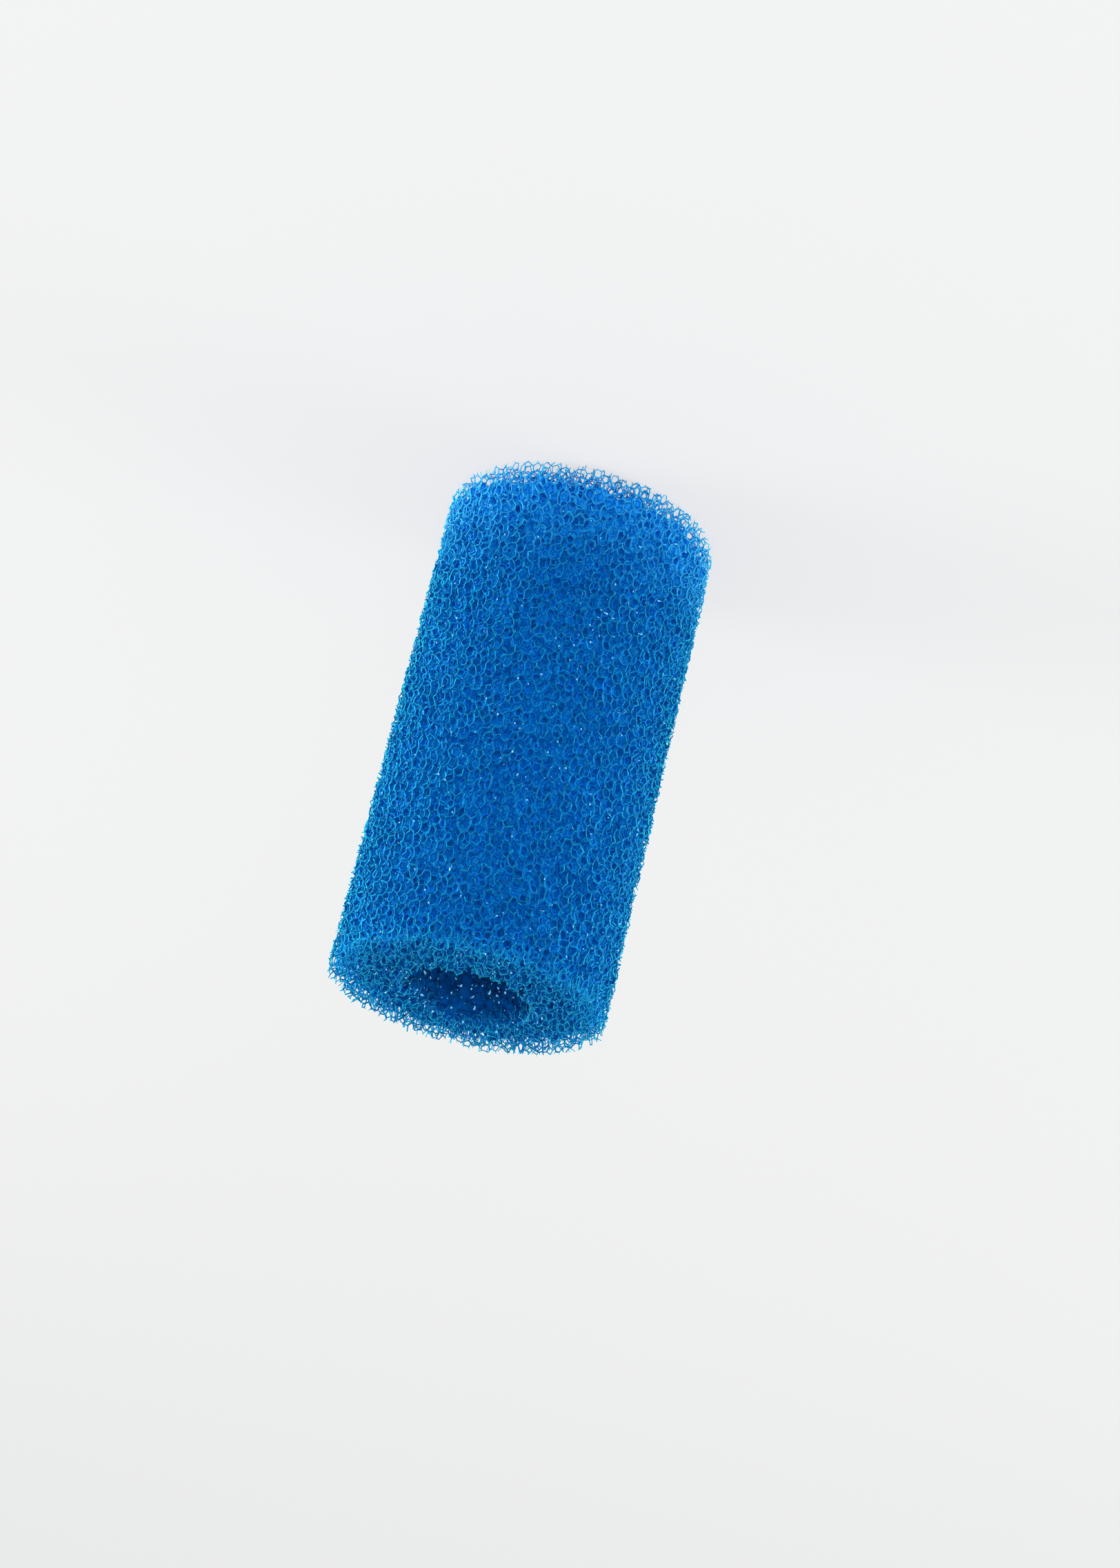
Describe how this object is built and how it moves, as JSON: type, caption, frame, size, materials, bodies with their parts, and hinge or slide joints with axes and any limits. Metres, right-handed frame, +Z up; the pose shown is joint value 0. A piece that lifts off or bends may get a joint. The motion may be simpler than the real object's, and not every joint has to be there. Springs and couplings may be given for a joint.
{
  "type": "cylinder sponge",
  "caption": "Round bar of blue open-cell foam with a plain hole down its middle, pushed over a tube or rod as a filter, soaker or buffer.",
  "frame": {"origin": "centre of the end that it stands on, on the axis of the hole", "axes": "+Z up along the axis of the hole, +X and +Y across the round bar"},
  "size_m": [0.045, 0.045, 0.086],
  "materials": {
    "blue_foam": "matte"
  },
  "bodies": {
    "root": {"sponge": "blue_foam"}
  },
  "joints": []
}
